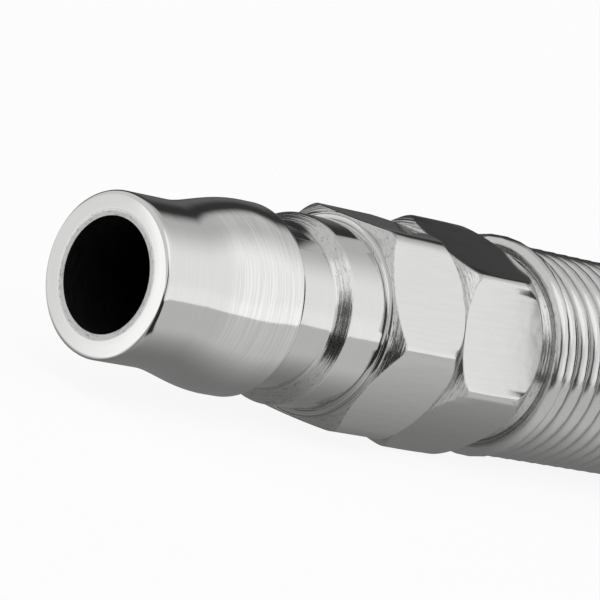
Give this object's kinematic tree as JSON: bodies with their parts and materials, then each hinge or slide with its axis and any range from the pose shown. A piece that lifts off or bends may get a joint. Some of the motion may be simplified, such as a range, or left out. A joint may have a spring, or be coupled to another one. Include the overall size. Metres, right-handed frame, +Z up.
{
  "type": "spiral air hose",
  "caption": "Coiled polyurethane air hose with a quick-connect plug, a matching ball-lock socket, hexagon hose nuts and spring guards.",
  "frame": {"origin": "middle of the two end fittings' bounding box, on the floor that the hose lies on", "axes": "+Z up; the plug and the socket both lie along X with their mouths towards -X; the coil's axis is along X between them"},
  "size_m": [0.3275, 0.0978, 0.068],
  "materials": {
    "nickel_plate": "bright nickel plating over turned steel, with fine turning marks",
    "guard_wire": "bright plated spring wire",
    "spring_steel": "drawn spring wire",
    "hose_black": "smooth extruded polyurethane",
    "black_rubber": "moulded rubber",
    "brass": "turned brass",
    "fibre": "pressed fibre washer"
  },
  "bodies": {
    "root": {"plug_body": "nickel_plate", "plug_nut": "nickel_plate", "plug_guard": "guard_wire", "hose_lead": "hose_black", "hose_coil": "hose_black", "hose_tail": "hose_black", "socket_guard": "guard_wire", "socket_nut": "nickel_plate", "socket_stem": "nickel_plate", "stem_gasket": "fibre", "socket_body": "nickel_plate", "bore_packing": "black_rubber", "locking_balls": "spring_steel", "sleeve_retainer": "spring_steel", "sleeve_spring": "spring_steel", "valve_spring": "spring_steel", "valve_guide": "brass"},
    "sleeve": {"socket_sleeve": "nickel_plate"},
    "valve": {"valve_poppet": "brass", "valve_seal": "black_rubber"}
  },
  "joints": [
    {"name": "sleeve_slide", "type": "slide", "parent": "root", "child": "sleeve", "axis": [1, 0, 0], "range_m": [0, 0.00315], "stiffness_N_per_m": 1500, "springref_m": -0.004, "deforming": ["sleeve_spring"]},
    {"name": "valve_slide", "type": "slide", "parent": "root", "child": "valve", "axis": [1, 0, 0], "range_m": [0, 0.0027], "stiffness_N_per_m": 700, "springref_m": -0.002, "deforming": ["valve_spring"]}
  ]
}
